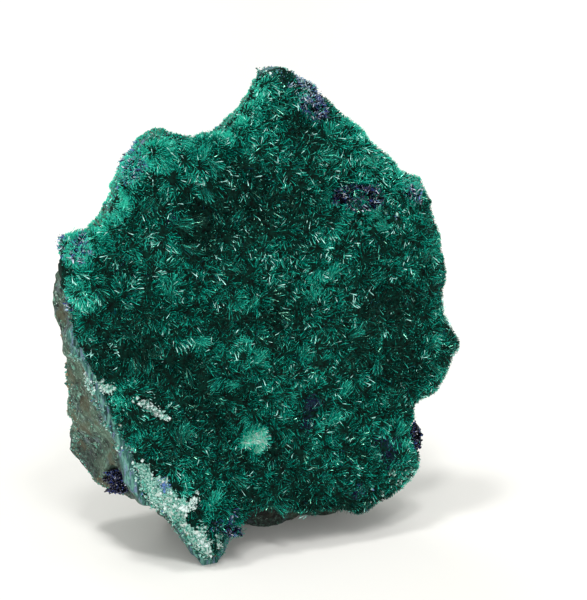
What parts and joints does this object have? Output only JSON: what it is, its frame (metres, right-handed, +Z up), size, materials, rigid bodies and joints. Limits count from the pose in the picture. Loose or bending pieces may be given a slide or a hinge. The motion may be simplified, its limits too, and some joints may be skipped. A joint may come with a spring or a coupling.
{
  "type": "brochantite specimen",
  "caption": "Druse of emerald-green brochantite needles on a wedge of host rock with small dark blue azurite clusters; stands on its lower tip and heel.",
  "frame": {"origin": "middle of the specimen's box, on the surface it stands on", "axes": "+Z up as it stands, -Y the way the crystal face looks, +X to the right of someone who looks at that face"},
  "size_m": [0.0622, 0.0258, 0.0702],
  "materials": {
    "rock": "rough broken rock, stained green, with brown crumbs",
    "brochantite": "glassy, translucent needles",
    "azurite": "glassy, nearly opaque blades"
  },
  "bodies": {
    "root": {"matrix": "rock", "brochantite_crust": "brochantite", "azurite_top": "azurite", "azurite_centre": "azurite", "azurite_corner": "azurite", "azurite_shoulder": "azurite", "azurite_left_corner": "azurite", "azurite_right_edge": "azurite", "azurite_tip": "azurite", "azurite_flank": "azurite"}
  },
  "joints": []
}
